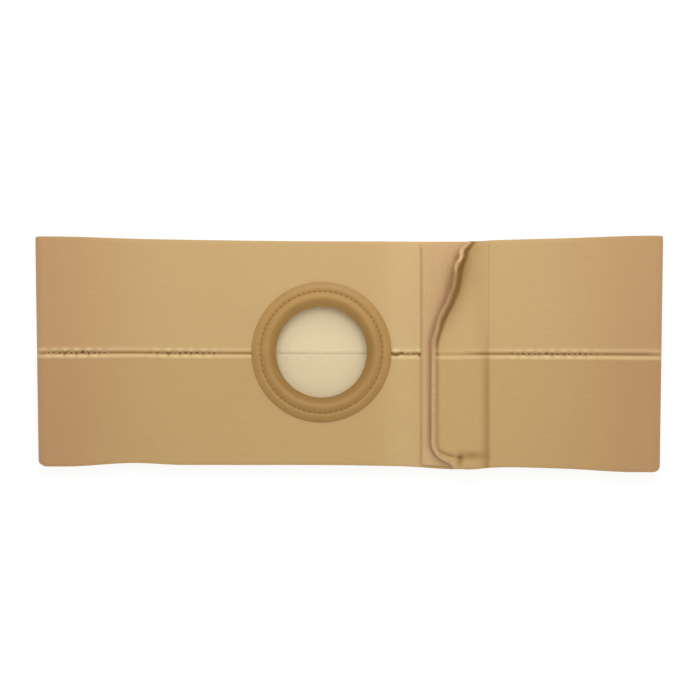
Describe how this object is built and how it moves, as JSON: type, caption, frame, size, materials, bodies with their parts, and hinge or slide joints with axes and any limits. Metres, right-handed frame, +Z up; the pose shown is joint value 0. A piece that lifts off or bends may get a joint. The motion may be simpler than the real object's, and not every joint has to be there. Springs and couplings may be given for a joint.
{
  "type": "ostomy support belt",
  "caption": "Wide elastic ostomy support belt lying flat as a closed loop, with a moulded ring round the opening in its front panel and a hook-and-loop flap that closes it round the waist.",
  "frame": {"origin": "middle of the lying belt's footprint, on the surface that it lies on", "axes": "+X along the belt, from the ring towards the flap; +Y across it, towards its upper edge; +Z up, out of its front panel"},
  "size_m": [0.4196, 0.1578, 0.0252],
  "materials": {
    "elastic_webbing": "ribbed woven elastic, matte",
    "ring_vinyl": "soft moulded vinyl, satin",
    "loop_pile": "brushed loop pile, matte",
    "hook_tape": "woven tape with small moulded hooks",
    "overlock_thread": "overlocked polyester thread"
  },
  "bodies": {
    "root": {"upper_band": "elastic_webbing", "lower_band": "elastic_webbing", "stoma_ring": "ring_vinyl", "loop_patch": "loop_pile", "hook_patch": "hook_tape", "flap_binding": "overlock_thread"}
  },
  "joints": []
}
